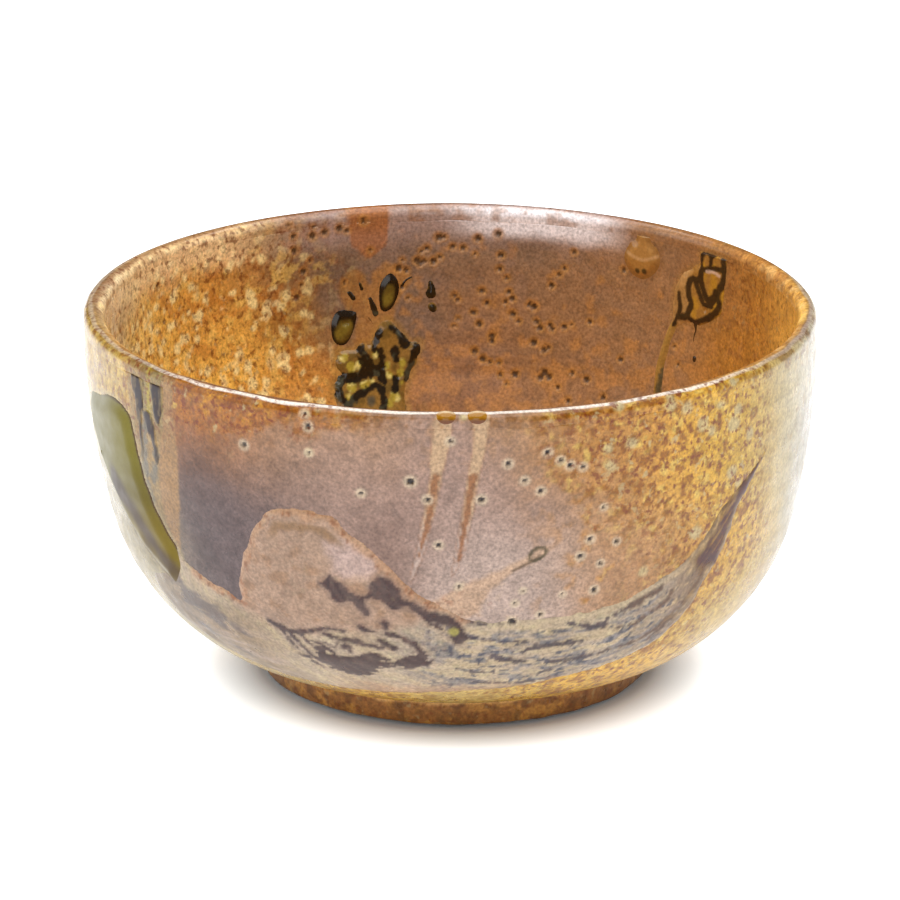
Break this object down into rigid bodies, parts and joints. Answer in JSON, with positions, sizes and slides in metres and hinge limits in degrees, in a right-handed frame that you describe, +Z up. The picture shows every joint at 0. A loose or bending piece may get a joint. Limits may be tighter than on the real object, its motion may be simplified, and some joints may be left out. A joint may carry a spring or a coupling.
{
  "type": "matcha bowl",
  "caption": "Hand-thrown stoneware matcha bowl: upright wall, round belly and low foot ring, with brown, ochre and dark poured glazes.",
  "frame": {"origin": "centre of the circle that the foot ring stands on, on the resting plane", "axes": "+Z up along the bowl's axis, through the mouth; -Y towards the decorated front with the two rim drips"},
  "size_m": [0.125, 0.1256, 0.065],
  "materials": {
    "stoneware_clay": "matte",
    "ash_iron_glaze": "satin",
    "ochre_glaze": "satin",
    "rim_glaze": "gloss",
    "foot_glaze": "satin",
    "poured_slip": "satin",
    "green_glass_glaze": "gloss",
    "iron_pigment": "satin",
    "dark_run_glaze": "gloss",
    "drop_glaze": "gloss"
  },
  "bodies": {
    "root": {"clay_bowl": "stoneware_clay", "foot_ring": "stoneware_clay", "outer_glaze": "ash_iron_glaze", "inner_glaze": "ochre_glaze", "rim_glaze": "rim_glaze", "foot_glaze": "foot_glaze", "foot_well_glaze": "foot_glaze", "poured_slip": "poured_slip", "green_glaze_pool": "green_glass_glaze", "iron_streaks": "iron_pigment", "rim_drips": "rim_glaze", "inner_run_left": "dark_run_glaze", "inner_run_right": "dark_run_glaze", "inner_drop": "drop_glaze"}
  },
  "joints": []
}
